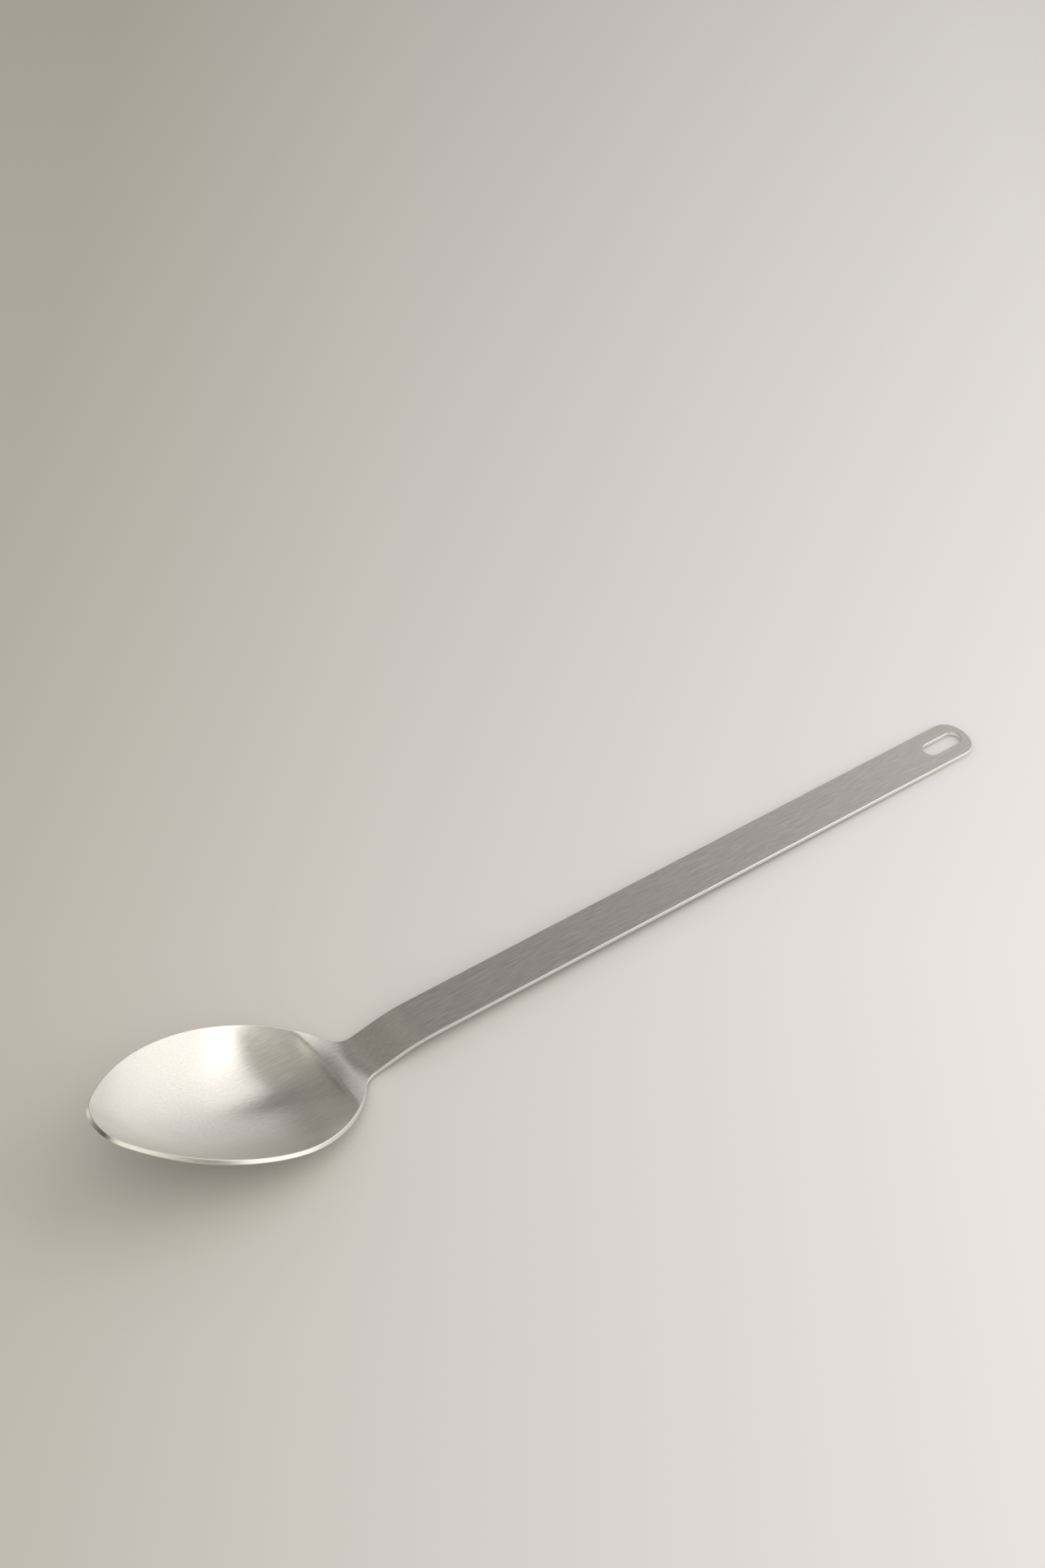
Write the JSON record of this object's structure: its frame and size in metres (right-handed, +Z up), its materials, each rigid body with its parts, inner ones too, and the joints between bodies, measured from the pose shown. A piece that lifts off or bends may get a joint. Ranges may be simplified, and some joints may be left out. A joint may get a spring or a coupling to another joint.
{
  "type": "serving spoon",
  "caption": "Long serving spoon pressed from brushed steel sheet, with a deep pointed oval bowl, a creased heel and a flat strap handle with a hanging slot.",
  "frame": {"origin": "on the surface that the spoon lies on, under the middle of its length and width", "axes": "+X along the spoon from the bowl's tip to the handle's end, +Y across it, +Z up out of the bowl, with the spoon lying at rest on its bowl and its handle's end"},
  "size_m": [0.34, 0.06, 0.0342],
  "materials": {
    "steel": "fine brushed along the length, slightly warm"
  },
  "bodies": {
    "root": {"spoon": "steel"}
  },
  "joints": []
}
